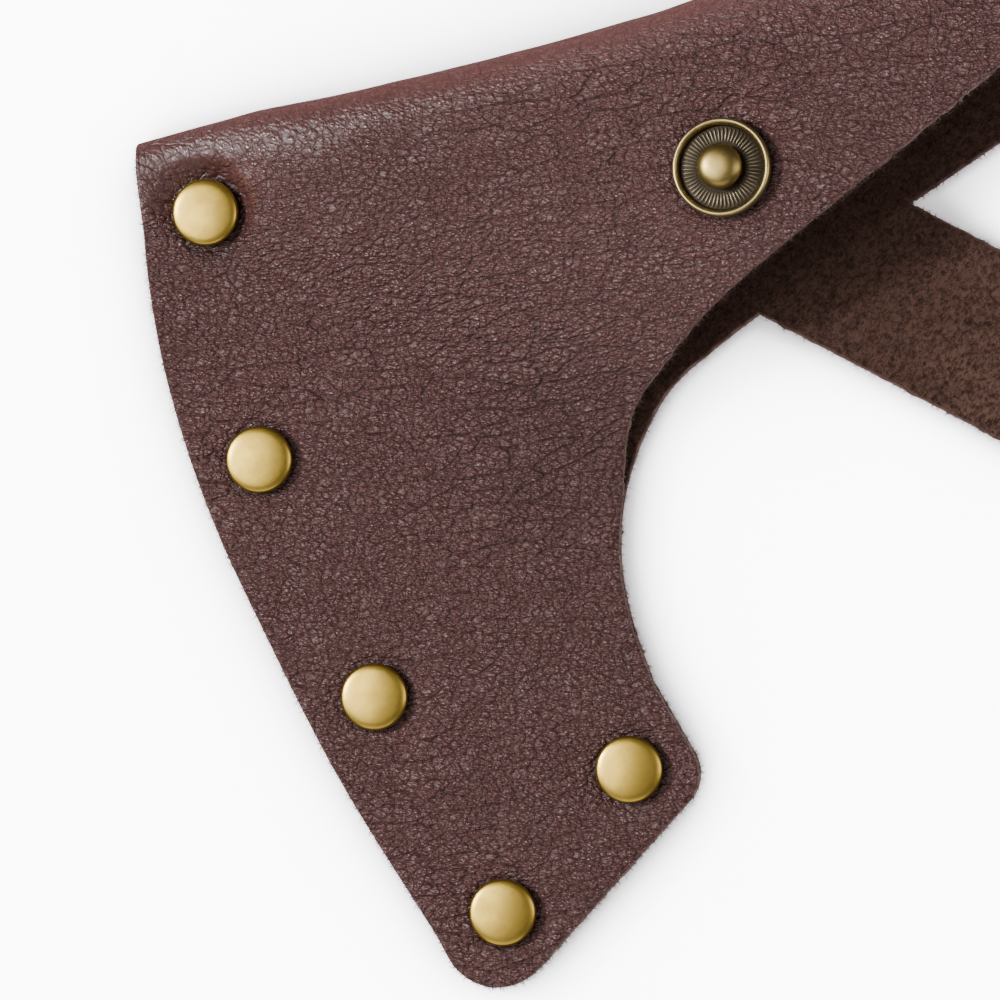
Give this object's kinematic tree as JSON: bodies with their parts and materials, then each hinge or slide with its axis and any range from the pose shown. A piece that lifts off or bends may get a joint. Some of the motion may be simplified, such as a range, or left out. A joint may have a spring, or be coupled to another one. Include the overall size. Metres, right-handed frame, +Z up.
{
  "type": "axe head sheath",
  "caption": "Folded leather sheath for a felling axe head, riveted along the cutting edge, with a strap that wraps round the handle and snaps shut.",
  "frame": {"origin": "the middle of the first rivet's foot, on the surface that the sheath lies on", "axes": "+X along the fold, away from the cutting edge; +Y from the heel up to the fold; +Z up"},
  "size_m": [0.2438, 0.1801, 0.0285],
  "materials": {
    "grain_leather": "pebbled full grain, satin",
    "strap_leather": "suede flesh side",
    "brass": "antique, brushed",
    "dark_brass": "antique, darkened",
    "spring_steel": "bright wire"
  },
  "bodies": {
    "sheath": {"sheath_body": "grain_leather", "rivet_cap_1": "brass", "rivet_cap_2": "brass", "rivet_cap_3": "brass", "rivet_cap_4": "brass", "rivet_cap_5": "brass", "rivet_tube_1": "brass", "rivet_tube_2": "brass", "rivet_tube_3": "brass", "rivet_tube_4": "brass", "rivet_tube_5": "brass", "snap_stud": "dark_brass", "stud_eyelet": "brass"},
    "strap_root": {"strap_root": "strap_leather"},
    "strap_bend_1": {"strap_bend_1": "strap_leather"},
    "strap_bend_2": {"strap_bend_2": "strap_leather"},
    "strap_bend_3": {"strap_bend_3": "strap_leather"},
    "strap_bend_4": {"strap_bend_4": "strap_leather"},
    "strap_end": {"strap_end": "strap_leather"},
    "strap_tip": {"strap_tip": "strap_leather", "snap_cap": "brass", "snap_socket": "brass", "socket_spring": "spring_steel"}
  },
  "joints": [
    {"name": "root_lift", "type": "hinge", "parent": "sheath", "child": "strap_root", "pos_m": [0.09138, -0.03895, 0.0038], "axis": [-0.6906, -0.7232, 0], "range_deg": [0, 4]},
    {"name": "strap_wrap", "type": "hinge", "parent": "strap_root", "child": "strap_bend_1", "pos_m": [0.13393, -0.07822, 0.0038], "axis": [-0.6906, -0.7232, 0], "range_deg": [0, 33.2]},
    {"name": "wrap_2", "type": "hinge", "parent": "strap_bend_1", "child": "strap_bend_2", "pos_m": [0.13863, -0.08255, 0.0038], "axis": [-0.6906, -0.7232, 0], "range_deg": [0, 33.2]},
    {"name": "wrap_3", "type": "hinge", "parent": "strap_bend_2", "child": "strap_bend_3", "pos_m": [0.14332, -0.08687, 0.0038], "axis": [-0.6906, -0.7232, 0], "range_deg": [0, 33.2]},
    {"name": "wrap_4", "type": "hinge", "parent": "strap_bend_3", "child": "strap_bend_4", "pos_m": [0.14801, -0.0912, 0.0038], "axis": [-0.6906, -0.7232, 0], "range_deg": [0, 33.2]},
    {"name": "wrap_5", "type": "hinge", "parent": "strap_bend_4", "child": "strap_end", "pos_m": [0.1527, -0.09553, 0.0038], "axis": [-0.6906, -0.7232, 0], "range_deg": [0, 33.2]},
    {"name": "snap_press", "type": "hinge", "parent": "strap_end", "child": "strap_tip", "pos_m": [0.17001, -0.11151, 0.0038], "axis": [-0.6906, -0.7232, 0], "range_deg": [0, 16]}
  ],
  "couplings": [
    {"joint": "root_lift", "follows": "strap_wrap", "ratio": 0.12048},
    {"joint": "wrap_2", "follows": "strap_wrap", "ratio": 1},
    {"joint": "wrap_3", "follows": "strap_wrap", "ratio": 1},
    {"joint": "wrap_4", "follows": "strap_wrap", "ratio": 1},
    {"joint": "wrap_5", "follows": "strap_wrap", "ratio": 1}
  ]
}
